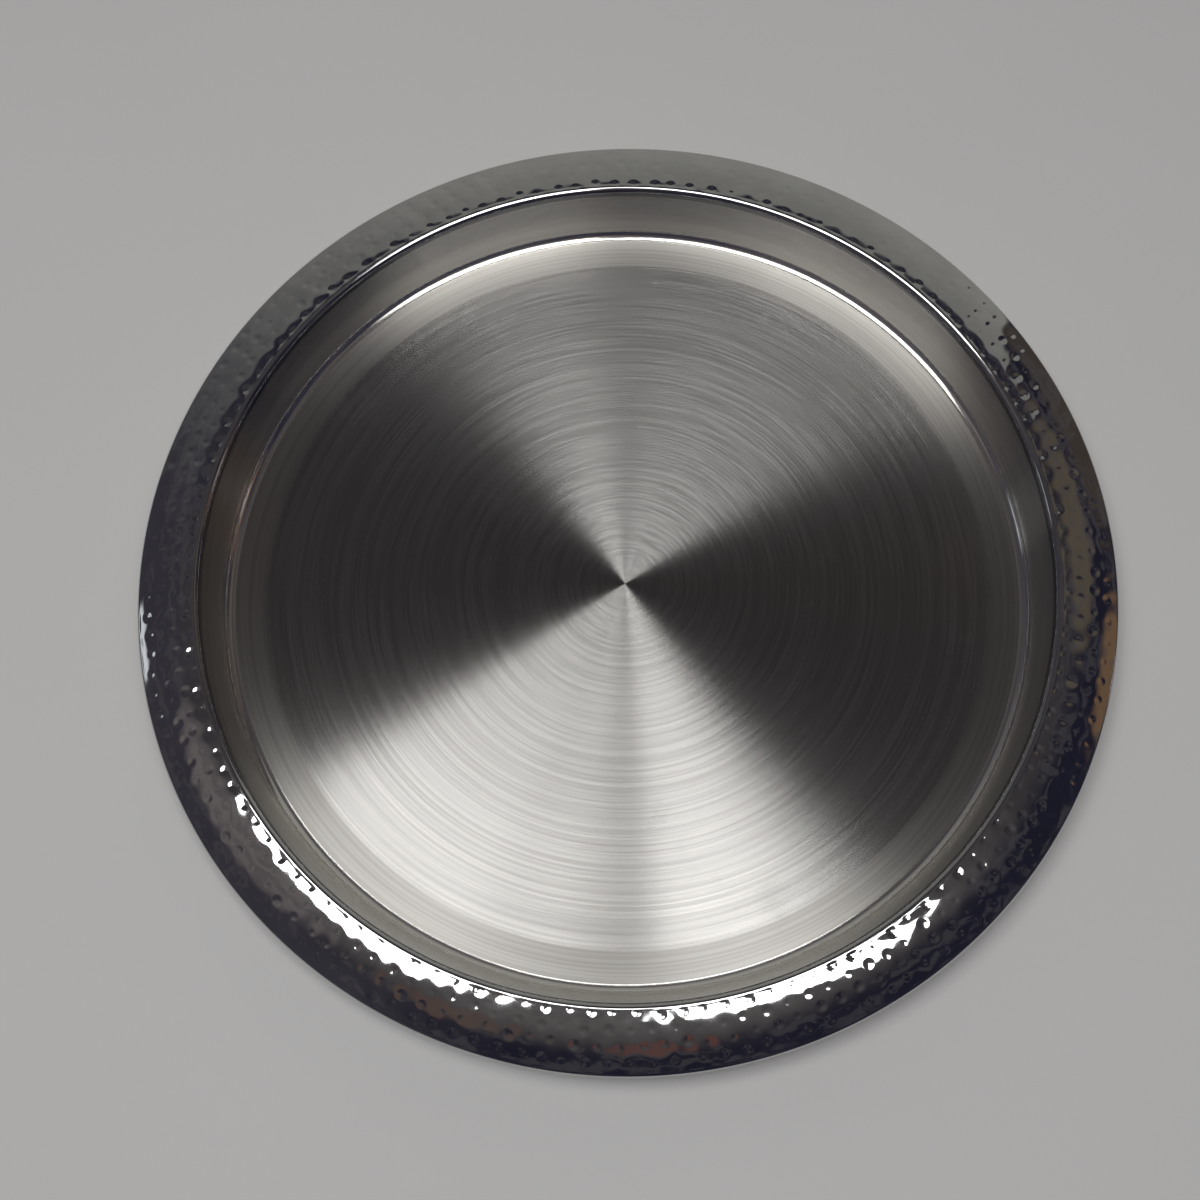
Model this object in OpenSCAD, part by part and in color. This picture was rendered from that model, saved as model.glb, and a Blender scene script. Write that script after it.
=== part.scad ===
// Round hammered serving tray in sheet steel.
// A pressed pan forms the well. A hammered collar is rolled over the pan's lip
// as a smooth bead, slopes down and outward, and is curled round a wire hoop.
// Millimetres, +Z up. The tray stands on z = 0 and its axis is Z.

/* [Tray] */
// Outside diameter over the curled edge
tray_d = 356; // [300:1:420]
// Depth of the well, from the top of the bead down to the floor
well_depth = 24.5; // [16:0.5:40]

/* [Pan] */
// Sheet thickness of the pan
pan_t = 1; // [0.6:0.1:1.2]
// Lean of the well's wall away from upright, in degrees
wall_lean = 14; // [5:1:35]
// Inside radius where the wall meets the floor
foot_r = 4; // [2:0.5:8]
// Turn of the lip at the top of the wall, in degrees
lip_turn = 175; // [120:5:200]

/* [Rim] */
// Sheet thickness of the rim
rim_t = 0.8; // [0.6:0.1:1]
// Width of the rim, from the middle of the bead to the outside edge
rim_w = 21.4; // [16:0.2:34]
// Drop of the rim, from the middle of the bead to the middle of the wire
rim_drop = 4.6; // [3:0.2:12]
// Radius of the rim's gentle crown
crown_r = 52; // [45:1:200]

/* [Seam] */
// Outside radius of the bead
bead_r = 2.4; // [2.2:0.1:3.4]
// Length of the rim's inner edge that runs down the wall below the bead
bead_leg = 2; // [0.4:0.1:4]
// Gap between the bead and the lip inside it
seam_gap = 0.1; // [0.05:0.01:0.2]

/* [Wired edge] */
// Diameter of the wire hoop
wire_d = 1.6; // [1:0.1:3]
// Gap between the wire and the curl round it
wire_gap = 0.08; // [0.04:0.01:0.2]
// Turn of the curl round the wire, in degrees
curl_turn = 250; // [180:5:265]

/* [Hidden] */

// Fineness of the curves: facets round the tray, and degrees of a bend in one facet
round_fn = 240;
bend_step = 7.5;
crown_step = 1.5;

// Points are [radius, height] in the tray's section, and angles turn from +radius to +height
function ray(angle) = [cos(angle), sin(angle)];
function heading(from, to) = atan2(to[1] - from[1], to[0] - from[0]);

// Nested radii of the seam and of the wired edge
lip_r = bead_r - rim_t - seam_gap;
wire_r = wire_d / 2;
curl_r = wire_r + wire_gap + rim_t;

// Middles of the bead and of the wire
bead_mid = [tray_d / 2 - rim_w, pan_t + well_depth - bead_r];
wire_mid = [tray_d / 2 - curl_r, bead_mid[1] - rim_drop];

// Middle of the crown, an arc that runs smoothly out of the bead and into the curl
bead_reach = crown_r - bead_r;
curl_reach = crown_r - curl_r;
span = norm(wire_mid - bead_mid);
span_way = (wire_mid - bead_mid) / span;
span_foot = (pow(bead_reach, 2) - pow(curl_reach, 2) + pow(span, 2)) / (2 * span);
crown_sink = sqrt(pow(bead_reach, 2) - pow(span_foot, 2));
crown_mid = bead_mid + span_foot * span_way + crown_sink * [span_way[1], -span_way[0]];
bead_angle = heading(crown_mid, bead_mid);
curl_angle = heading(crown_mid, wire_mid);

// Wall: its face looks inward along wall_face, and its foot turns round foot_mid
wall_angle = 180 - wall_lean;
wall_face = ray(wall_angle);
wall_down = ray(wall_angle + 90);
foot_z = pan_t + foot_r;
foot_fall = bead_mid[1] - foot_z;
foot_inset = (lip_r + foot_r + foot_fall * sin(wall_lean)) / cos(wall_lean);
foot_mid = [bead_mid[0] - foot_inset, foot_z];

// Points along an arc round a middle, with both ends
function arc(middle, radius, from, to, step) =
    let (steps = ceil(abs(to - from) / step))
    [for (i = [0:steps]) middle + radius * ray(from + (to - from) * i / steps)];
function after_first(points) = [for (i = [1:len(points) - 1]) points[i]];
function backward(points) = [for (i = [len(points) - 1:-1:0]) points[i]];

// One face of the pan's sheet, at a depth below its upper face
function pan_face(depth) = concat(
    [[0, pan_t - depth]],
    arc(foot_mid, foot_r + depth, -90, -wall_lean, bend_step),
    arc(bead_mid, lip_r - depth, wall_angle, wall_angle - lip_turn, bend_step)
);

// One face of the rim's sheet, at a depth below its upper face
function rim_face(depth) = concat(
    [bead_mid + (bead_r - depth) * wall_face + bead_leg * wall_down],
    arc(bead_mid, bead_r - depth, wall_angle, bead_angle, bend_step),
    after_first(arc(crown_mid, crown_r - depth, bead_angle, curl_angle, crown_step)),
    after_first(arc(wire_mid, curl_r - depth, curl_angle, curl_angle - curl_turn, bend_step))
);

// Pressed pan: flat floor, leaning wall and a lip rolled outward
module well_pan() {
    color("silver")
        rotate_extrude($fn = round_fn)
            polygon(concat(pan_face(0), backward(pan_face(pan_t))));
}

// Collar: leg down the wall, bead over the lip, crowned slope and curled edge
module hammered_rim() {
    color("slategray")
        rotate_extrude($fn = round_fn)
            polygon(concat(rim_face(0), backward(rim_face(rim_t))));
}

// Wire hoop inside the curled edge
module edge_wire() {
    color("dimgray")
        rotate_extrude($fn = round_fn)
            translate(wire_mid)
                circle(wire_r, $fn = round_fn);
}

well_pan();
hammered_rim();
edge_wire();
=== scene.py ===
"""Round hammered serving tray in sheet steel.

A pressed pan with a circular-brushed floor, a mirror-polished hammered rim that is rolled over the
pan's lip, and the wire hoop inside the rim's curled edge. Metres, +Z up, standing on z = 0.
"""

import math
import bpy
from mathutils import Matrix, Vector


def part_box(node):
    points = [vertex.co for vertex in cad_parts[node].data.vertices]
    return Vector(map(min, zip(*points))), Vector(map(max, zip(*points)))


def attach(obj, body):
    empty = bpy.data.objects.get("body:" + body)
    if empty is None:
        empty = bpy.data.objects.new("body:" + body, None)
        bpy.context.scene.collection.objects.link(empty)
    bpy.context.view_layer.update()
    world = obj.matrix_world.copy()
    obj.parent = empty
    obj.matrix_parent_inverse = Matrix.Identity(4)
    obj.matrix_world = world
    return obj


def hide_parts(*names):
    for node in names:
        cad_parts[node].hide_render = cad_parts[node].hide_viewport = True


bl_info = {
    "name": "Hammered serving tray",
    "version": (1, 0, 0),
    "blender": (4, 5, 0),
    "location": "View3D > Sidebar > Tray",
    "description": "Builds the pan, the hammered rim and the wire hoop of a serving tray, and a studio",
    "category": "Add Mesh",
}

from types import SimpleNamespace

import bpy
import numpy as np
from bpy.props import FloatProperty, FloatVectorProperty, IntProperty, PointerProperty
from bpy.types import NodeSocket, Operator, Panel, PropertyGroup
from mathutils import Quaternion, Vector

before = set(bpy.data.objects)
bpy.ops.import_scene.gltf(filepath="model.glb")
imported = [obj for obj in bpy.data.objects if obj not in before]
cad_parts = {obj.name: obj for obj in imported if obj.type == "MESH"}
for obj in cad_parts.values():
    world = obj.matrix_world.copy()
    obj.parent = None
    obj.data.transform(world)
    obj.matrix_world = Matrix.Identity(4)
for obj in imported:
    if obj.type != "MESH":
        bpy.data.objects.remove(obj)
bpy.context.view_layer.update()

RIM_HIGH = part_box("hammered_rim")[1]
WIRE_LOW, WIRE_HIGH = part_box("edge_wire")
BODY = "root"


# Kinds of property

def length(name, description, metres):
    """A length that a user may set."""
    return FloatProperty(
        name=name, description=description, default=metres, subtype="DISTANCE", unit="LENGTH", precision=5
    )


def angle(name, description, degrees):
    """An angle that a user may set."""
    return FloatProperty(
        name=name, description=description, default=math.radians(degrees), subtype="ANGLE", unit="ROTATION"
    )


def factor(name, description, share):
    """A share from 0 to 1 that a user may set."""
    return FloatProperty(
        name=name, description=description, default=share, min=0.0, max=1.0, subtype="FACTOR"
    )


def colour(name, description, red, green, blue):
    """A colour that a user may set."""
    return FloatVectorProperty(
        name=name,
        description=description,
        default=(red, green, blue, 1.0),
        size=4,
        min=0.0,
        max=1.0,
        subtype="COLOR",
    )


class TraySizes(PropertyGroup):
    """Sizes of the sheets, the seam and the wired edge."""

    tray_radius: length("Tray radius", "Outside radius over the curled edge", RIM_HIGH.x)
    bead_top: length("Bead top", "Height of the bead's top above the table", RIM_HIGH.z)
    wire_height: length(
        "Wire height", "Height of the wire's middle above the table", (WIRE_LOW.z + WIRE_HIGH.z) / 2
    )
    wire_radius: length("Wire radius", "Radius of the wire", (WIRE_HIGH.z - WIRE_LOW.z) / 2)
    wire_gap: length("Wire gap", "Gap between the wire and the curl round it", 0.00008)
    curl_turn: angle("Curl turn", "Turn of the curl round the wire", 250)
    pan_sheet: length("Pan sheet", "Sheet thickness of the pan", 0.001)
    wall_lean: angle("Wall lean", "Lean of the well's wall away from upright", 14)
    foot_radius: length("Foot radius", "Inside radius where the wall meets the floor", 0.004)
    ring_width: length("Ring width", "Width of the gently dished ring round the floor", 0.0112)
    ring_rise: length("Ring rise", "Rise of that ring from the floor to the foot of the wall", 0.0003)
    lip_turn: angle("Lip turn", "Turn of the lip at the top of the wall", 175)
    rim_sheet: length("Rim sheet", "Sheet thickness of the rim", 0.0008)
    rim_width: length("Rim width", "From the middle of the bead to the outside edge", 0.0214)
    crown_radius: length("Crown radius", "Radius of the rim's gentle crown", 0.052)
    bead_radius: length("Bead radius", "Outside radius of the bead", 0.0024)
    bead_leg: length("Bead leg", "Length of the rim that runs down the wall below the bead", 0.002)
    seam_gap: length("Seam gap", "Gap between the bead and the lip inside it", 0.0001)


class HammerMarks(PropertyGroup):
    """Rows of hammer marks on the rim."""

    rows: IntProperty(name="Rows", description="Rows of marks across the rim", default=4, min=1)
    first_row: length("First row", "From the bead to the middles of the first row", 0.0013)
    row_pitch: length("Row pitch", "From one row to the next", 0.0053)
    mark_pitch: length("Mark pitch", "From one mark to the next along a row", 0.0075)
    mark_radius: length("Mark radius", "Radius of a mark", 0.0018)
    mark_depth: length("Mark depth", "Depth of a mark in its middle", 0.00012)
    outer_share: factor("Outer share", "Depth of the marks in the outer rows, as a share", 0.65)
    sink_radius: length("Sink radius", "Reach of the hollow that the sheet sinks into round a mark", 0.0024)
    sink_depth: length("Sink depth", "Depth of that hollow", 0.00006)
    shoulder: length("Shoulder", "Step down from the bead to the hammered face", 0.00003)
    slip: length("Slip", "How far a mark may lie from its place in the row", 0.0008)
    unevenness: factor("Unevenness", "How much the marks differ in size", 0.35)
    back_share: factor("Back", "How much of a mark shows as a bulge below", 0.8)
    wave_height: length("Wave height", "Height of the slow waves that the hammering leaves", 0.00003)
    seed: IntProperty(name="Seed", description="Start of the random draws", default=7)


class TrayFinish(PropertyGroup):
    """Colours and roughness of the finishes."""

    pan_colour: colour("Pan", "Brushed steel of the pan", 0.36, 0.353, 0.338)
    # The ring's and the wall's colours are paler than the pan's own steel: a painted sheen for the light
    # they reflect, slight on the ring and strong on the wall.
    ring_colour_painted_sheen: colour("Ring", "Satin steel of the ring round the floor", 0.385, 0.374, 0.352)
    wall_colour_painted_sheen: colour("Wall", "Satin steel of the pan's wall", 0.90, 0.88, 0.84)
    rim_colour: colour("Rim", "Polished steel of the rim", 0.62, 0.62, 0.62)
    wire_colour: colour("Wire", "Drawn steel of the wire", 0.45, 0.45, 0.45)
    floor_roughness: factor("Floor roughness", "Roughness of the brushed floor", 0.25)
    ring_roughness: factor("Ring roughness", "Roughness of the satin ring round the floor", 0.33)
    foot_roughness: factor("Foot roughness", "Roughness of the polished foot of the wall", 0.12)
    wall_roughness: factor("Wall roughness", "Roughness of the brushed wall", 0.18)
    brushing: factor("Brushing", "How far the brushing stretches highlights", 1.0)
    rim_roughness: factor("Rim roughness", "Roughness of the polished rim", 0.05)


class StudioLight(PropertyGroup):
    """Table, lamps, surroundings and camera."""

    table_colour: colour("Table", "Pale table", 0.86, 0.855, 0.84)
    lamp_height: length("Lamp height", "Height of the ceiling lamps", 1.7)
    lamp_power: FloatProperty(
        name="Lamp power",
        description="Power of the lamps for each square metre",
        default=15.9,
        unit="POWER",
    )
    dark_colour: colour("Dark side", "Surroundings low down", 0.016, 0.016, 0.030)
    left_colour: colour("Left side", "Surroundings low on the left", 0.046, 0.043, 0.055)
    overhead_colour: colour("Overhead", "Surroundings overhead", 0.058, 0.053, 0.054)
    near_colour: colour("Near side", "Surroundings overhead on the near side", 0.13, 0.12, 0.12)
    mottle_colour: colour("Mottle", "Paler spots here and there in the surroundings", 0.085, 0.080, 0.085)
    far_colour: colour("Far side", "Surroundings beyond the tray", 0.26, 0.256, 0.240)
    camera_distance: length("Camera distance", "From the middle of the well to the camera", 0.5857)
    camera_height: angle("Camera height", "Angle of the camera above the table", 70.95)
    camera_roll: angle("Camera roll", "Turn of the camera about its line of sight", -4.257)
    camera_lens: FloatProperty(
        name="Lens", description="Focal length in millimetres", default=46.8, subtype="DISTANCE_CAMERA"
    )


# The tray's section, as points of radius and height

def ray(turn):
    """Unit vector at an angle from +radius towards +height."""
    return np.array((math.cos(turn), math.sin(turn)))


def heading(start, end):
    """Angle of the way from one point to another."""
    return math.atan2(end[1] - start[1], end[0] - start[0])


def arc(middle, radius, start, end, steps):
    """Points along an arc, with both ends."""
    return [middle + radius * ray(turn) for turn in np.linspace(start, end, steps + 1)]


def straight(start, end, steps):
    """Points between two points, without the ends."""
    return [start + (end - start) * share for share in np.linspace(0, 1, steps + 1)[1:-1]]


def round_end(upper, lower, steps):
    """Points of the half circle round a sheet's edge, without the ends."""
    middle = (upper + lower) / 2
    radius = np.linalg.norm(upper - lower) / 2
    start = heading(middle, upper)
    return arc(middle, radius, start, start - math.pi, steps)[1:-1]


def tray_section(sizes):
    """Middles, radii and angles of the section's bends."""
    part = SimpleNamespace()
    part.lip_radius = sizes.bead_radius - sizes.rim_sheet - sizes.seam_gap
    part.curl_radius = sizes.wire_radius + sizes.wire_gap + sizes.rim_sheet
    part.bead_middle = np.array((sizes.tray_radius - sizes.rim_width, sizes.bead_top - sizes.bead_radius))
    part.wire_middle = np.array((sizes.tray_radius - part.curl_radius, sizes.wire_height))
    bead_reach = sizes.crown_radius - sizes.bead_radius
    curl_reach = sizes.crown_radius - part.curl_radius
    way = part.wire_middle - part.bead_middle
    span = np.linalg.norm(way)
    way = way / span
    foot = (bead_reach**2 - curl_reach**2 + span**2) / (2 * span)
    sink = math.sqrt(bead_reach**2 - foot**2)
    part.crown_middle = part.bead_middle + foot * way + sink * np.array((way[1], -way[0]))
    part.bead_angle = heading(part.crown_middle, part.bead_middle)
    part.curl_angle = heading(part.crown_middle, part.wire_middle)
    part.crown_length = sizes.crown_radius * (part.bead_angle - part.curl_angle)
    part.wall_angle = math.pi - sizes.wall_lean
    foot_height = sizes.pan_sheet + sizes.ring_rise + sizes.foot_radius
    fall = part.bead_middle[1] - foot_height
    inset = part.lip_radius + sizes.foot_radius + fall * math.sin(sizes.wall_lean)
    part.foot_middle = np.array((part.bead_middle[0] - inset / math.cos(sizes.wall_lean), foot_height))
    return part


# Meshes turned round the tray's axis

def band(first, second):
    """Faces between two rings of vertex numbers. One ring may hold a whole multiple of the other's."""
    if len(first) > len(second):
        return [face[::-1] for face in band(second, first)]
    if len(first) == len(second):
        return np.stack((first, second, np.roll(second, -1), np.roll(first, -1)), axis=1).tolist()
    share = len(second) // len(first)
    faces = []
    for number, corner in enumerate(first):
        spokes = [second[(number * share + k) % len(second)] for k in range(share + 1)]
        faces += [[corner, here, after] for here, after in zip(spokes, spokes[1:])]
        if len(first) > 1:
            faces.append([corner, spokes[-1], first[(number + 1) % len(first)]])
    return faces


def turns(count):
    """Angles of a ring's points round the axis."""
    return np.arange(count) * (2 * math.pi / count)


def plain_ring(point, count):
    """Ring of a section point, or one vertex where the point is on the axis."""
    count = count if point[0] > 0 else 1
    return np.full(count, point[0]), np.full(count, point[1])


def turned_mesh(name, rings, closed):
    """Smooth mesh through rings of radii and heights, in order along the section."""
    corners = []
    numbers = []
    total = 0
    for radii, heights in rings:
        around = turns(len(radii))
        corners.append(np.stack((radii * np.cos(around), radii * np.sin(around), heights), axis=1))
        numbers.append(np.arange(total, total + len(radii)))
        total += len(radii)
    pairs = list(zip(numbers, numbers[1:]))
    if closed:
        pairs.append((numbers[-1], numbers[0]))
    faces = []
    for first, second in pairs:
        faces += band(first, second)
    mesh = bpy.data.meshes.new(name)
    mesh.from_pydata(np.concatenate(corners), [], faces)
    mesh.shade_smooth()
    return mesh


def add_piece(name, mesh, material, node):
    """Adds a piece that stands for its CAD node."""
    piece = bpy.data.objects.new(name, mesh)
    bpy.context.collection.objects.link(piece)
    mesh.materials.append(material)
    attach(piece, BODY)
    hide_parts(node)


# The pan's and the rim's paths, each along its upper face and back along its lower face

# Fineness of the pan's mesh: points in a ring, and rings or steps along its section
PAN_COUNT = 480
FLOOR_RINGS = 10
RING_STEPS = 8
FOOT_STEPS = 14
WALL_STEPS = 8
LIP_STEPS = 20
END_STEPS = 6


def pan_face(sizes, part, depth):
    """One face of the pan's sheet, from the axis to the lip's edge."""
    height = sizes.pan_sheet - depth
    ring_start = part.foot_middle[0] - sizes.ring_width
    floor = [np.array((radius, height)) for radius in np.linspace(0, ring_start, FLOOR_RINGS + 1)]
    foot_start = math.atan2(2 * sizes.ring_rise, sizes.ring_width) - math.pi / 2
    foot = arc(part.foot_middle, sizes.foot_radius + depth, foot_start, -sizes.wall_lean, FOOT_STEPS)
    reach = foot[0] - floor[-1]
    for share in np.linspace(0, 1, RING_STEPS + 1)[1:-1]:
        floor.append(np.array((ring_start + reach[0] * share, height + reach[1] * share**2)))
    edge = sizes.pan_sheet / 2 / (part.lip_radius - sizes.pan_sheet / 2)
    lip_end = part.wall_angle - sizes.lip_turn + edge
    lip = arc(part.bead_middle, part.lip_radius - depth, part.wall_angle, lip_end, LIP_STEPS)
    return floor + foot + straight(foot[-1], lip[0], WALL_STEPS) + lip


def pan_rings(sizes):
    """Rings of the pan, from the middle of its floor's top to the middle of its underside."""
    part = tray_section(sizes)
    upper = pan_face(sizes, part, 0.0)
    lower = pan_face(sizes, part, sizes.pan_sheet)
    path = upper + round_end(upper[-1], lower[-1], END_STEPS) + lower[::-1]
    return [plain_ring(point, PAN_COUNT) for point in path]


# Fineness of the rim's mesh: points in a ring, and steps along its section
FINE_COUNT = 2400
BACK_COUNT = 800
PLAIN_COUNT = 400
BEAD_STEPS = 16
CROWN_STEPS = 52
BACK_STEPS = 24
CURL_STEPS = 20
LEG_STEPS = 3
# Slow waves round the rim: how many are added up, and the crests that one may have
WAVES = 9
WAVE_LEAST = 40
WAVE_MOST = 150


def hammer_depths(along, around, marks, part, sizes):
    """Depth of the hammering at distances along the rim's face from the bead, and at angles around."""
    draw = np.random.default_rng(marks.seed)
    dents = np.zeros((len(along), len(around)))
    sinks = np.zeros_like(dents)
    for row in range(marks.rows):
        row_at = marks.first_row + row * marks.row_pitch
        row_angle = part.bead_angle - row_at / sizes.crown_radius
        row_radius = part.crown_middle[0] + sizes.crown_radius * math.cos(row_angle)
        count = round(2 * math.pi * row_radius / marks.mark_pitch)
        step = 2 * math.pi / count
        start = step * (row % 2) / 2
        slip_along, slip_around, size = draw.uniform(-1, 1, (3, count))
        scale = 1 + marks.unevenness * size
        share = marks.outer_share if row else 1.0
        nearest = np.floor((around - start) / step + 0.5).astype(int)
        for beside in (-1, 0, 1):
            mark = (nearest + beside) % count
            place = (nearest + beside) * step + start
            across = (around - place) * row_radius - marks.slip * slip_around[mark]
            down = along[:, None] - row_at - marks.slip * slip_along[mark]
            reach = across**2 + down**2
            dent = np.clip(1 - reach / (marks.mark_radius * scale[mark]) ** 2, 0, None) ** 2
            dents = np.maximum(dents, dent * marks.mark_depth * scale[mark] ** 2 * share)
            spread = 2 * (marks.sink_radius * scale[mark]) ** 2
            sinks += np.exp(-reach / spread) * marks.sink_depth * share
    waves = np.zeros_like(dents)
    for _ in range(WAVES):
        number = draw.integers(WAVE_LEAST, WAVE_MOST)
        phase, lean = draw.uniform(-math.pi, math.pi, 2)
        waves += np.sin(number * around + phase + lean * along[:, None] / marks.row_pitch)
    edge = marks.first_row / 2
    fade = np.clip(along / edge, 0, 1) * np.clip((part.crown_length - along) / edge, 0, 1)
    fade = fade**2 * (3 - 2 * fade)
    depths = dents + sinks + marks.shoulder + waves * marks.wave_height / math.sqrt(WAVES)
    return depths * fade[:, None]


def crown_rings(depth, steps, count, share, part, sizes, marks):
    """Rings of the crown at a depth below its upper face, with a share of the hammer marks in them."""
    along = np.linspace(0, part.crown_length, steps + 1)
    dents = hammer_depths(along, turns(count), marks, part, sizes) * share
    rings = []
    for place, dent in zip(along, dents):
        normal = ray(part.bead_angle - place / sizes.crown_radius)
        point = part.crown_middle + (sizes.crown_radius - depth) * normal
        rings.append((point[0] - dent * normal[0], point[1] - dent * normal[1]))
    return rings


def rim_rings(sizes, marks):
    """Rings of the rim: up its leg, over the bead, along the crown, round the curl, and back below."""
    part = tray_section(sizes)
    down = ray(part.wall_angle + math.pi / 2)
    leg = (sizes.bead_leg - sizes.rim_sheet / 2) * down
    edge = sizes.rim_sheet / 2 / (part.curl_radius - sizes.rim_sheet / 2)
    curl_end = part.curl_angle - sizes.curl_turn + edge
    inner = {}
    outer = {}
    for depth in (0.0, sizes.rim_sheet):
        bead_radius = sizes.bead_radius - depth
        bead = arc(part.bead_middle, bead_radius, part.wall_angle, part.bead_angle, BEAD_STEPS)
        foot = bead[0] + leg
        inner[depth] = [foot, *straight(foot, bead[0], LEG_STEPS), *bead[:-1]]
        curl = arc(part.wire_middle, part.curl_radius - depth, part.curl_angle, curl_end, CURL_STEPS)
        outer[depth] = curl[1:]
    top = crown_rings(0.0, CROWN_STEPS, FINE_COUNT, 1.0, part, sizes, marks)
    back = crown_rings(sizes.rim_sheet, BACK_STEPS, BACK_COUNT, marks.back_share, part, sizes, marks)
    over, under = inner[0.0], inner[sizes.rim_sheet]
    curl_over, curl_under = outer[0.0], outer[sizes.rim_sheet]
    curl_edge = round_end(curl_over[-1], curl_under[-1], END_STEPS)
    leg_edge = round_end(under[0], over[0], END_STEPS)

    def plain(points):
        return [plain_ring(point, PLAIN_COUNT) for point in points]

    return (
        plain(over) + top + plain(curl_over + curl_edge + curl_under[::-1]) + back[::-1]
        + plain(under[::-1] + leg_edge)
    )


# Fineness of the wire's mesh: points along the hoop, and sides of its section
WIRE_COUNT = 300
WIRE_SIDES = 20


def wire_rings(sizes):
    """Rings of the wire hoop, round its section."""
    part = tray_section(sizes)
    around = np.linspace(0, -2 * math.pi, WIRE_SIDES, endpoint=False)
    return [plain_ring(part.wire_middle + sizes.wire_radius * ray(turn), WIRE_COUNT) for turn in around]


# Materials

def add_node(tree, kind, inputs=None, **settings):
    """Adds a shader node. An input is given by name or number, as a value or as a socket to link."""
    made = tree.nodes.new(kind)
    for name, value in settings.items():
        setattr(made, name, value)
    for name, value in (inputs or {}).items():
        if isinstance(value, NodeSocket):
            tree.links.new(value, made.inputs[name])
        else:
            made.inputs[name].default_value = value
    return made


def new_material(name):
    """A material with its tree and its shader."""
    material = bpy.data.materials.new(name)
    material.use_nodes = True
    return material, material.node_tree, material.node_tree.nodes["Principled BSDF"]


def maths(tree, operation, *values):
    """Output of a Math node."""
    return add_node(tree, "ShaderNodeMath", dict(enumerate(values)), operation=operation).outputs[0]


def vector_maths(tree, operation, *values, output="Vector"):
    """Output of a Vector Math node."""
    made = add_node(tree, "ShaderNodeVectorMath", dict(enumerate(values)), operation=operation)
    return made.outputs[output]


def ranged(tree, value, low, high, to_low=0.0, to_high=1.0):
    """A value moved smoothly from one range to another."""
    inputs = {"Value": value, "From Min": low, "From Max": high, "To Min": to_low, "To Max": to_high}
    return add_node(tree, "ShaderNodeMapRange", inputs, interpolation_type="SMOOTHSTEP").outputs["Result"]


def noise(tree, place, scale, detail=2.0, roughness=0.5):
    """Noise at a place."""
    inputs = {"Vector": place, "Scale": scale, "Detail": detail, "Roughness": roughness}
    return add_node(tree, "ShaderNodeTexNoise", inputs).outputs["Fac"]


def tinted(tree, share, first, second):
    """Mix of two colours."""
    mix = add_node(tree, "ShaderNodeMix", data_type="RGBA")
    tree.links.new(share, mix.inputs["Factor"])
    for name, value in (("A", first), ("B", second)):
        socket = [each for each in mix.inputs if each.name == name and each.type == "RGBA"][0]
        if isinstance(value, NodeSocket):
            tree.links.new(value, socket)
        else:
            socket.default_value = value
    return [socket for socket in mix.outputs if socket.type == "RGBA"][0]


def shade(tint, share):
    """A colour made lighter or darker."""
    return (tint[0] * share, tint[1] * share, tint[2] * share, 1.0)


def shaded(tree, share, tint, shades):
    """A colour that goes from its first shade to its second."""
    return tinted(tree, share, shade(tint, shades[0]), shade(tint, shades[1]))


def round_place(tree):
    """Place on the tray, distance from its axis and the direction there, as sockets."""
    place = add_node(tree, "ShaderNodeTexCoord").outputs["Object"]
    flat = vector_maths(tree, "MULTIPLY", place, (1.0, 1.0, 0.0))
    radius = vector_maths(tree, "LENGTH", flat, output="Value")
    direction = vector_maths(tree, "NORMALIZE", flat)
    return place, radius, direction


def ring_noise(tree, radius, direction, pitch, arcs, detail):
    """Noise drawn out into rings of about that pitch, broken into a number of arcs."""
    rise = add_node(tree, "ShaderNodeCombineXYZ", {"Z": maths(tree, "DIVIDE", radius, pitch)}).outputs[0]
    spread = vector_maths(tree, "SCALE", direction)
    spread.node.inputs["Scale"].default_value = arcs
    return noise(tree, vector_maths(tree, "ADD", rise, spread), 1.0, detail)


# Brushing round the pan: pitch of its lines, how far they break into arcs, and their shares of its tone
GROOVE_PITCH = 0.0006
GROOVE_ARCS = 3.0
GROOVE_SHARE = 0.35
STREAK_PITCH = 0.0008
STREAK_ARCS = 0.6
STREAK_SHARE = 0.65
BRUSH_DETAIL = 1.0
BRUSH_TONES = (0.35, 0.65)
FLOOR_SHADES = (0.89, 1.10)
RING_SHADES = (0.91, 1.08)
WALL_SHADES = (0.94, 1.04)
BRUSH_BUMP = 0.3
BUMP_DEPTH = 0.00001
# Turn of the stretched highlights, as a share of a whole turn: across the lines of the brushing
BRUSH_TURN = 0.25
# Roughness that the grooves and the smudges add, and the noise values between which they do
GROOVE_TONES = (0.3, 0.7)
GROOVE_ROUGHNESS = 0.02
SMUDGE_SCALE = 22.0
SMUDGE_DETAIL = 4.0
SMUDGE_FINENESS = 0.6
SMUDGE_TONES = (0.55, 0.75)
SMUDGE_ROUGHNESS = 0.03
# Widths over which one finish of the pan turns into the next
RING_BLEND = 0.0015
FOOT_BLEND = 0.0003
WALL_BLEND = 0.0007


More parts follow.
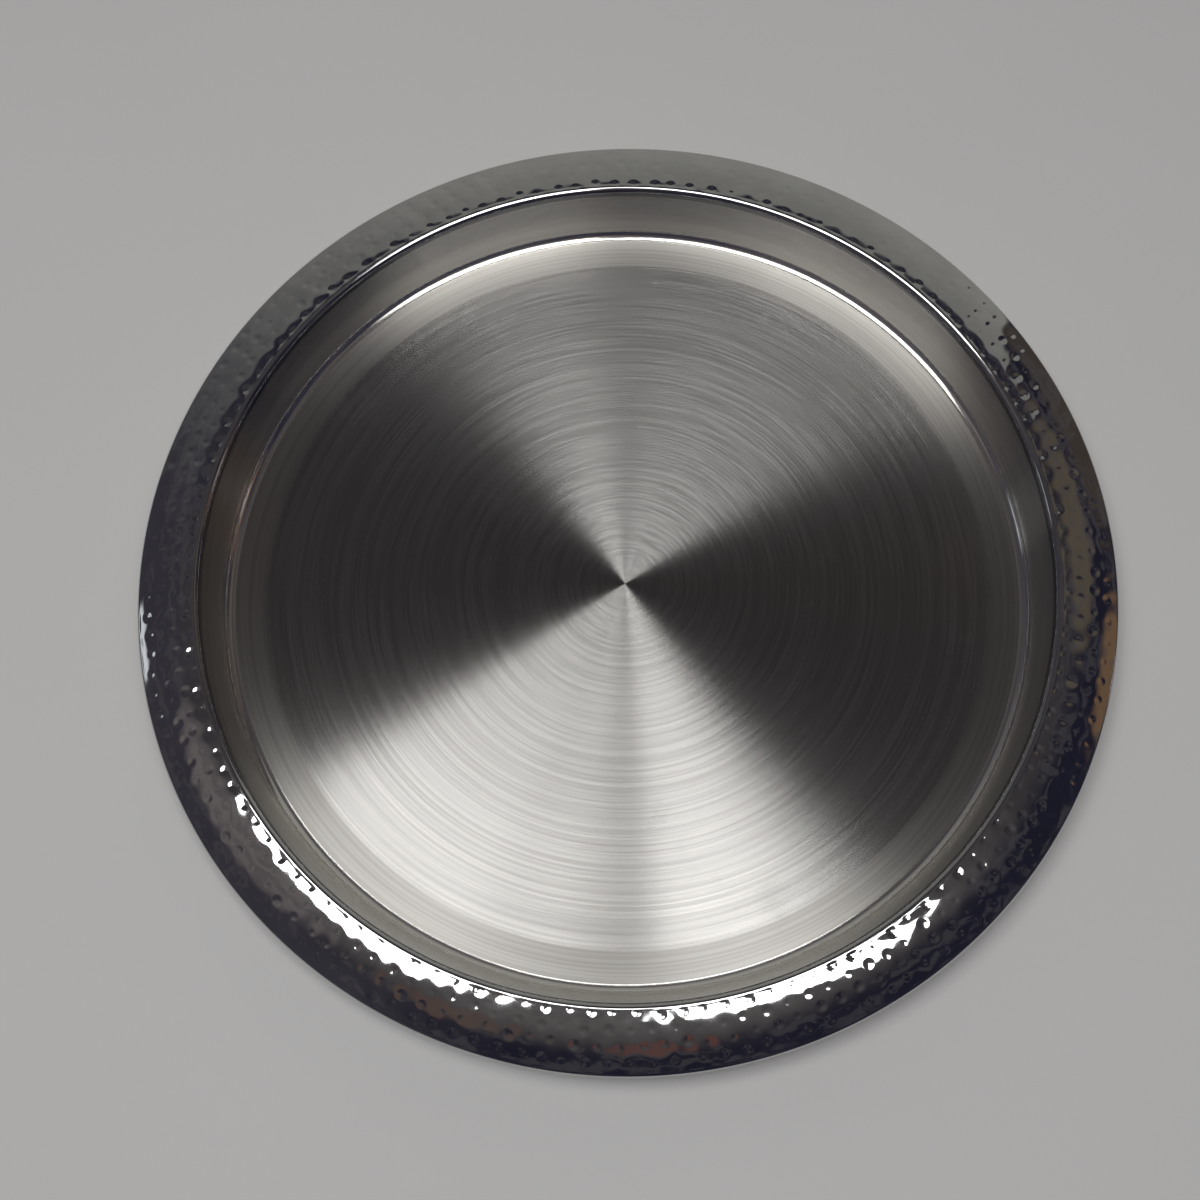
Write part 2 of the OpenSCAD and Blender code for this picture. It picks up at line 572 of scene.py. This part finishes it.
def circular_brushed_steel(sizes, finish):
    """Steel brushed in circles, with a satin ring round the floor, a polished foot and a satin wall; the
    ring and the wall are coloured paler than the floor, a painted sheen for the light they reflect.
    """
    material, tree, shader = new_material("circular_brushed_steel")
    place, radius, direction = round_place(tree)
    part = tray_section(sizes)
    grooves = ring_noise(tree, radius, direction, GROOVE_PITCH, GROOVE_ARCS, BRUSH_DETAIL)
    streaks = ring_noise(tree, radius, direction, STREAK_PITCH, STREAK_ARCS, BRUSH_DETAIL)
    smudges = noise(tree, place, SMUDGE_SCALE, SMUDGE_DETAIL, SMUDGE_FINENESS)
    height = add_node(tree, "ShaderNodeSeparateXYZ", {0: place}).outputs["Z"]

    floor_edge = part.foot_middle[0]
    ring_start = floor_edge - sizes.ring_width
    foot_top = part.foot_middle[1] - sizes.foot_radius * math.sin(sizes.wall_lean)
    on_ring = ranged(tree, radius, ring_start - RING_BLEND, ring_start + RING_BLEND)
    on_wall = ranged(tree, radius, floor_edge, floor_edge + FOOT_BLEND)

    groove_tone = maths(tree, "MULTIPLY", grooves, GROOVE_SHARE)
    streak_tone = maths(tree, "MULTIPLY", streaks, STREAK_SHARE)
    share = ranged(tree, maths(tree, "ADD", groove_tone, streak_tone), *BRUSH_TONES)
    tint = shaded(tree, share, finish.pan_colour, FLOOR_SHADES)
    # Painted sheen: the ring gets a slightly paler colour and the wall a much paler one than the floor, for
    # the light they reflect.
    tint = tinted(tree, on_ring, tint, shaded(tree, share, finish.ring_colour_painted_sheen, RING_SHADES))
    tint = tinted(tree, on_wall, tint, shaded(tree, share, finish.wall_colour_painted_sheen, WALL_SHADES))
    tree.links.new(tint, shader.inputs["Base Color"])

    smooth = finish.floor_roughness - GROOVE_ROUGHNESS
    coarse = finish.floor_roughness + GROOVE_ROUGHNESS
    rough = ranged(tree, grooves, *GROOVE_TONES, smooth, coarse)
    rough = ranged(tree, on_ring, 0.0, 1.0, rough, finish.ring_roughness)
    rough = ranged(tree, on_wall, 0.0, 1.0, rough, finish.foot_roughness)
    rough = ranged(tree, height, foot_top - WALL_BLEND, foot_top + WALL_BLEND, rough, finish.wall_roughness)
    rough = maths(tree, "ADD", rough, ranged(tree, smudges, *SMUDGE_TONES, 0.0, SMUDGE_ROUGHNESS))
    tree.links.new(rough, shader.inputs["Roughness"])

    bump = add_node(
        tree, "ShaderNodeBump", {"Strength": BRUSH_BUMP, "Distance": BUMP_DEPTH, "Height": streaks}
    )
    tree.links.new(bump.outputs["Normal"], shader.inputs["Normal"])
    tangent = add_node(tree, "ShaderNodeTangent", direction_type="RADIAL", axis="Z")
    tree.links.new(tangent.outputs["Tangent"], shader.inputs["Tangent"])
    shader.inputs["Metallic"].default_value = 1.0
    shader.inputs["Anisotropic"].default_value = finish.brushing
    shader.inputs["Anisotropic Rotation"].default_value = BRUSH_TURN
    return material


# Haze on the polished rim, and the noise values between which it changes the colour and the roughness
HAZE_SCALE = 70.0
HAZE_DETAIL = 4.0
HAZE_FINENESS = 0.6
HAZE_TONES = (0.35, 0.7)
HAZE_SHADES = (0.95, 1.04)
HAZE_ROUGH_TONES = (0.35, 0.75)
HAZE_ROUGH_LEAST = 0.7
HAZE_ROUGH_MOST = 1.8
# Fine lines of the polishing, and the rubbed band along the outside edge
POLISH_PITCH = 0.0009
POLISH_ARCS = 14.0
POLISH_DETAIL = 3.0
POLISH_BUMP = 0.12
RUB_WIDTH = 0.0012
RUB_ROUGHNESS = 0.10


def hammered_mirror_steel(sizes, finish):
    """Polished steel with fine polishing lines, a light haze and a rubbed edge."""
    material, tree, shader = new_material("hammered_mirror_steel")
    place, radius, direction = round_place(tree)
    haze = noise(tree, place, HAZE_SCALE, HAZE_DETAIL, HAZE_FINENESS)
    polish = ring_noise(tree, radius, direction, POLISH_PITCH, POLISH_ARCS, POLISH_DETAIL)
    tint = shaded(tree, ranged(tree, haze, *HAZE_TONES), finish.rim_colour, HAZE_SHADES)
    tree.links.new(tint, shader.inputs["Base Color"])
    smooth = finish.rim_roughness * HAZE_ROUGH_LEAST
    hazy = finish.rim_roughness * HAZE_ROUGH_MOST
    rub = ranged(tree, radius, sizes.tray_radius - RUB_WIDTH, sizes.tray_radius, 0.0, RUB_ROUGHNESS)
    rough = maths(tree, "ADD", ranged(tree, haze, *HAZE_ROUGH_TONES, smooth, hazy), rub)
    tree.links.new(rough, shader.inputs["Roughness"])
    bump = add_node(
        tree, "ShaderNodeBump", {"Strength": POLISH_BUMP, "Distance": BUMP_DEPTH, "Height": polish}
    )
    tree.links.new(bump.outputs["Normal"], shader.inputs["Normal"])
    shader.inputs["Metallic"].default_value = 1.0
    return material


# Drawing lines along the wire
LINE_PITCH = 0.00015
LINE_ARCS = 20.0
LINE_DETAIL = 2.0
LINE_TONES = (0.3, 0.7)
WIRE_SHADES = (0.8, 1.1)
WIRE_ROUGHNESS = (0.3, 0.5)


def drawn_wire_steel(finish):
    """Drawn wire: dull steel with lines along the hoop."""
    material, tree, shader = new_material("drawn_wire_steel")
    radius, direction = round_place(tree)[1:]
    lines = ring_noise(tree, radius, direction, LINE_PITCH, LINE_ARCS, LINE_DETAIL)
    tint = shaded(tree, ranged(tree, lines, *LINE_TONES), finish.wire_colour, WIRE_SHADES)
    tree.links.new(tint, shader.inputs["Base Color"])
    tree.links.new(ranged(tree, lines, *LINE_TONES, *WIRE_ROUGHNESS), shader.inputs["Roughness"])
    shader.inputs["Metallic"].default_value = 1.0
    return material


# Faint clouds on the table
CLOUD_SCALE = 9.0
CLOUD_DETAIL = 3.0
TABLE_SHADES = (0.985, 1.015)
TABLE_ROUGHNESS = 0.55
TABLE_SPECULAR = 0.25


def pale_table(studio):
    """Pale matt table."""
    material, tree, shader = new_material("pale_table")
    place = add_node(tree, "ShaderNodeTexCoord").outputs["Object"]
    cloud = noise(tree, place, CLOUD_SCALE, CLOUD_DETAIL)
    tree.links.new(shaded(tree, cloud, studio.table_colour, TABLE_SHADES), shader.inputs["Base Color"])
    shader.inputs["Roughness"].default_value = TABLE_ROUGHNESS
    shader.inputs["Specular IOR Level"].default_value = TABLE_SPECULAR
    return material


# Operators

class TRAY_OT_well_pan(Operator):
    """Builds the pressed pan"""

    bl_idname = "tray.well_pan"
    bl_label = "Well pan"

    def execute(self, context):
        scene = context.scene
        mesh = turned_mesh("well_pan_skin", pan_rings(scene.tray_sizes), closed=False)
        material = circular_brushed_steel(scene.tray_sizes, scene.tray_finish)
        add_piece("brushed_pan", mesh, material, "well_pan")
        return {"FINISHED"}


class TRAY_OT_hammered_rim(Operator):
    """Builds the hammered rim with its bead and its curled edge"""

    bl_idname = "tray.hammered_rim"
    bl_label = "Hammered rim"

    def execute(self, context):
        scene = context.scene
        rings = rim_rings(scene.tray_sizes, scene.hammer_marks)
        mesh = turned_mesh("hammered_rim_skin", rings, closed=True)
        material = hammered_mirror_steel(scene.tray_sizes, scene.tray_finish)
        add_piece("hammered_collar", mesh, material, "hammered_rim")
        return {"FINISHED"}


class TRAY_OT_edge_wire(Operator):
    """Builds the wire hoop in the curled edge"""

    bl_idname = "tray.edge_wire"
    bl_label = "Edge wire"

    def execute(self, context):
        scene = context.scene
        mesh = turned_mesh("edge_wire_skin", wire_rings(scene.tray_sizes), closed=True)
        add_piece("wire_hoop", mesh, drawn_wire_steel(scene.tray_finish), "edge_wire")
        return {"FINISHED"}


# Half the table's side
TABLE_HALF = 8.0
# Lamp panels over the table: middle, width, depth, and turn in degrees
LAMP_PANELS = {
    "left_lamp": ((-0.466, -0.073), 0.68, 0.64, 30),
    "right_lamp": ((0.235, -0.25), 0.37, 0.54, 0),
    "outer_lamp": ((0.57, -0.38), 0.30, 0.28, 0),
    "far_lamp": ((0.035, 0.16), 0.33, 0.24, 0),
}
# Point of the pan's floor that the camera looks at
CAMERA_AIM = (-0.00951, -0.00624)
# Soft patches of the surroundings that the rim mirrors: azimuth, elevation and reach in degrees, and colour
SOFT_PATCHES = {
    "left_high": (-174, 55, 15, (0.17, 0.15, 0.15, 1.0)),
    "left_bright": (168, 22, 5.5, (0.90, 0.95, 1.00, 1.0)),
    "near_left": (-126, 59, 8, (0.110, 0.075, 0.065, 1.0)),
    "near_middle": (-86, 57, 6, (0.120, 0.062, 0.055, 1.0)),
    "right_bright": (4, 16, 4, (0.90, 0.93, 1.00, 1.0)),
    "right_low": (36, 18, 17, (0.063, 0.051, 0.045, 1.0)),
    "right_warm": (6, 25, 11, (0.18, 0.11, 0.065, 1.0)),
    "right_high": (31, 46, 13, (0.11, 0.09, 0.068, 1.0)),
}
# Share of a patch's reach that has its full colour
PATCH_CORE = 0.45
# Where the surroundings change: sideways as a part of the direction, upward and round in degrees
LEFT_EDGE = (-0.2, -0.6)
NEAR_EDGE = (0.1, -0.15)
NEAR_RISE = (52, 78)
OVERHEAD_RISE = (46, 70)
FAR_RIGHT_EDGE = (47, 49.5)
FAR_LEFT_EDGE = (152, 96)
FAR_TOP = (48, 45)
FAR_RISE = (8, 46)
FAR_SHADES = (1.10, 0.86)
# Paler spots in the surroundings: their noise, the values where they start and end, and their strength
MOTTLE_SCALE = 9.0
MOTTLE_DETAIL = 3.0
MOTTLE_FINENESS = 0.6
MOTTLE_TONES = (0.50, 0.60)
MOTTLE_SHARE = 0.5


def add_table(studio):
    """Pale table under the tray."""
    mesh = bpy.data.meshes.new("table_top")
    corners = [(x * TABLE_HALF, y * TABLE_HALF, 0.0) for x, y in ((-1, -1), (1, -1), (1, 1), (-1, 1))]
    mesh.from_pydata(corners, [], [(0, 1, 2, 3)])
    mesh.materials.append(pale_table(studio))
    table = bpy.data.objects.new("table_top", mesh)
    bpy.context.collection.objects.link(table)


def add_lamps(studio):
    """Soft lamps overhead."""
    for name, (middle, width, depth, turn) in LAMP_PANELS.items():
        light = bpy.data.lights.new(name, "AREA")
        light.shape = "RECTANGLE"
        light.size = width
        light.size_y = depth
        light.energy = studio.lamp_power * width * depth
        lamp = bpy.data.objects.new(name, light)
        lamp.location = (*middle, studio.lamp_height)
        lamp.rotation_euler.z = math.radians(turn)
        bpy.context.collection.objects.link(lamp)


def toward(turn, rise):
    """Unit direction at an azimuth and an elevation in degrees."""
    turn = math.radians(turn)
    rise = math.radians(rise)
    return math.cos(rise) * math.cos(turn), math.cos(rise) * math.sin(turn), math.sin(rise)


def add_surroundings(studio):
    """Dim surroundings: dark low down, paler overhead and on the near side, grey beyond the tray."""
    world = bpy.data.worlds.new("studio_room")
    world.use_nodes = True
    tree = world.node_tree
    way = add_node(tree, "ShaderNodeTexCoord").outputs["Generated"]
    parts = add_node(tree, "ShaderNodeSeparateXYZ", {0: way}).outputs
    azimuth = maths(tree, "ARCTAN2", parts["Y"], parts["X"])
    elevation = maths(tree, "ARCSINE", parts["Z"])

    def between(value, edge):
        return ranged(tree, value, math.radians(edge[0]), math.radians(edge[1]))

    left = ranged(tree, parts["X"], *LEFT_EDGE)
    tone = tinted(tree, left, studio.dark_colour, studio.left_colour)
    tone = tinted(tree, between(elevation, OVERHEAD_RISE), tone, studio.overhead_colour)
    near = maths(tree, "MULTIPLY", between(elevation, NEAR_RISE), ranged(tree, parts["Y"], *NEAR_EDGE))
    tone = tinted(tree, near, tone, studio.near_colour)
    for turn, rise, reach, patch in SOFT_PATCHES.values():
        nearness = vector_maths(tree, "DOT_PRODUCT", way, toward(turn, rise), output="Value")
        edge = math.cos(math.radians(reach))
        core = math.cos(math.radians(reach * PATCH_CORE))
        tone = tinted(tree, ranged(tree, nearness, edge, core), tone, patch)
    spots = noise(tree, way, MOTTLE_SCALE, MOTTLE_DETAIL, MOTTLE_FINENESS)
    mottle = ranged(tree, spots, *MOTTLE_TONES, 0.0, MOTTLE_SHARE)
    tone = tinted(tree, mottle, tone, studio.mottle_colour)
    sides = maths(tree, "MULTIPLY", between(azimuth, FAR_RIGHT_EDGE), between(azimuth, FAR_LEFT_EDGE))
    beyond = maths(tree, "MULTIPLY", sides, between(elevation, FAR_TOP))
    far = shaded(tree, between(elevation, FAR_RISE), studio.far_colour, FAR_SHADES)
    tree.links.new(tinted(tree, beyond, tone, far), tree.nodes["Background"].inputs["Color"])
    bpy.context.scene.world = world


def add_camera(studio, sizes):
    """Camera above the near side of the table."""
    data = bpy.data.cameras.new("camera")
    data.lens = studio.camera_lens
    camera = bpy.data.objects.new("camera", data)
    bpy.context.collection.objects.link(camera)
    middle = Vector((0.0, 0.0, sizes.pan_sheet))
    way = Vector((0.0, -math.cos(studio.camera_height), math.sin(studio.camera_height)))
    camera.location = middle + studio.camera_distance * way
    aim = Vector((*CAMERA_AIM, sizes.pan_sheet))
    look = (aim - camera.location).to_track_quat("-Z", "Y")
    camera.rotation_mode = "QUATERNION"
    camera.rotation_quaternion = look @ Quaternion((0.0, 0.0, 1.0), studio.camera_roll)
    bpy.context.scene.camera = camera


class TRAY_OT_studio(Operator):
    """Adds the table, the lamps, the surroundings and the camera"""

    bl_idname = "tray.studio"
    bl_label = "Studio"

    def execute(self, context):
        scene = context.scene
        scene.view_settings.view_transform = "Standard"
        add_table(scene.tray_studio)
        add_lamps(scene.tray_studio)
        add_surroundings(scene.tray_studio)
        add_camera(scene.tray_studio, scene.tray_sizes)
        return {"FINISHED"}


OPERATORS = (TRAY_OT_well_pan, TRAY_OT_hammered_rim, TRAY_OT_edge_wire, TRAY_OT_studio)
GROUPS = {
    "tray_sizes": TraySizes,
    "hammer_marks": HammerMarks,
    "tray_finish": TrayFinish,
    "tray_studio": StudioLight,
}


class TRAY_PT_sidebar(Panel):
    """Lists the tray's pieces and their settings"""

    bl_idname = "TRAY_PT_sidebar"
    bl_label = "Hammered tray"
    bl_space_type = "VIEW_3D"
    bl_region_type = "UI"
    bl_category = "Tray"

    def draw(self, context):
        for operator in OPERATORS:
            self.layout.operator(operator.bl_idname)
        for group, kind in GROUPS.items():
            column = self.layout.column()
            for name in kind.__annotations__:
                column.prop(getattr(context.scene, group), name)


def register():
    for kind in (*GROUPS.values(), *OPERATORS, TRAY_PT_sidebar):
        bpy.utils.register_class(kind)
    for group, kind in GROUPS.items():
        setattr(bpy.types.Scene, group, PointerProperty(type=kind))


def unregister():
    for group in GROUPS:
        delattr(bpy.types.Scene, group)
    for kind in (TRAY_PT_sidebar, *reversed(OPERATORS), *reversed(GROUPS.values())):
        bpy.utils.unregister_class(kind)


def main():
    """Builds the tray and its studio."""
    register()
    bpy.ops.tray.well_pan()
    bpy.ops.tray.hammered_rim()
    bpy.ops.tray.edge_wire()
    bpy.ops.tray.studio()


if __name__ == "__main__":
    main()
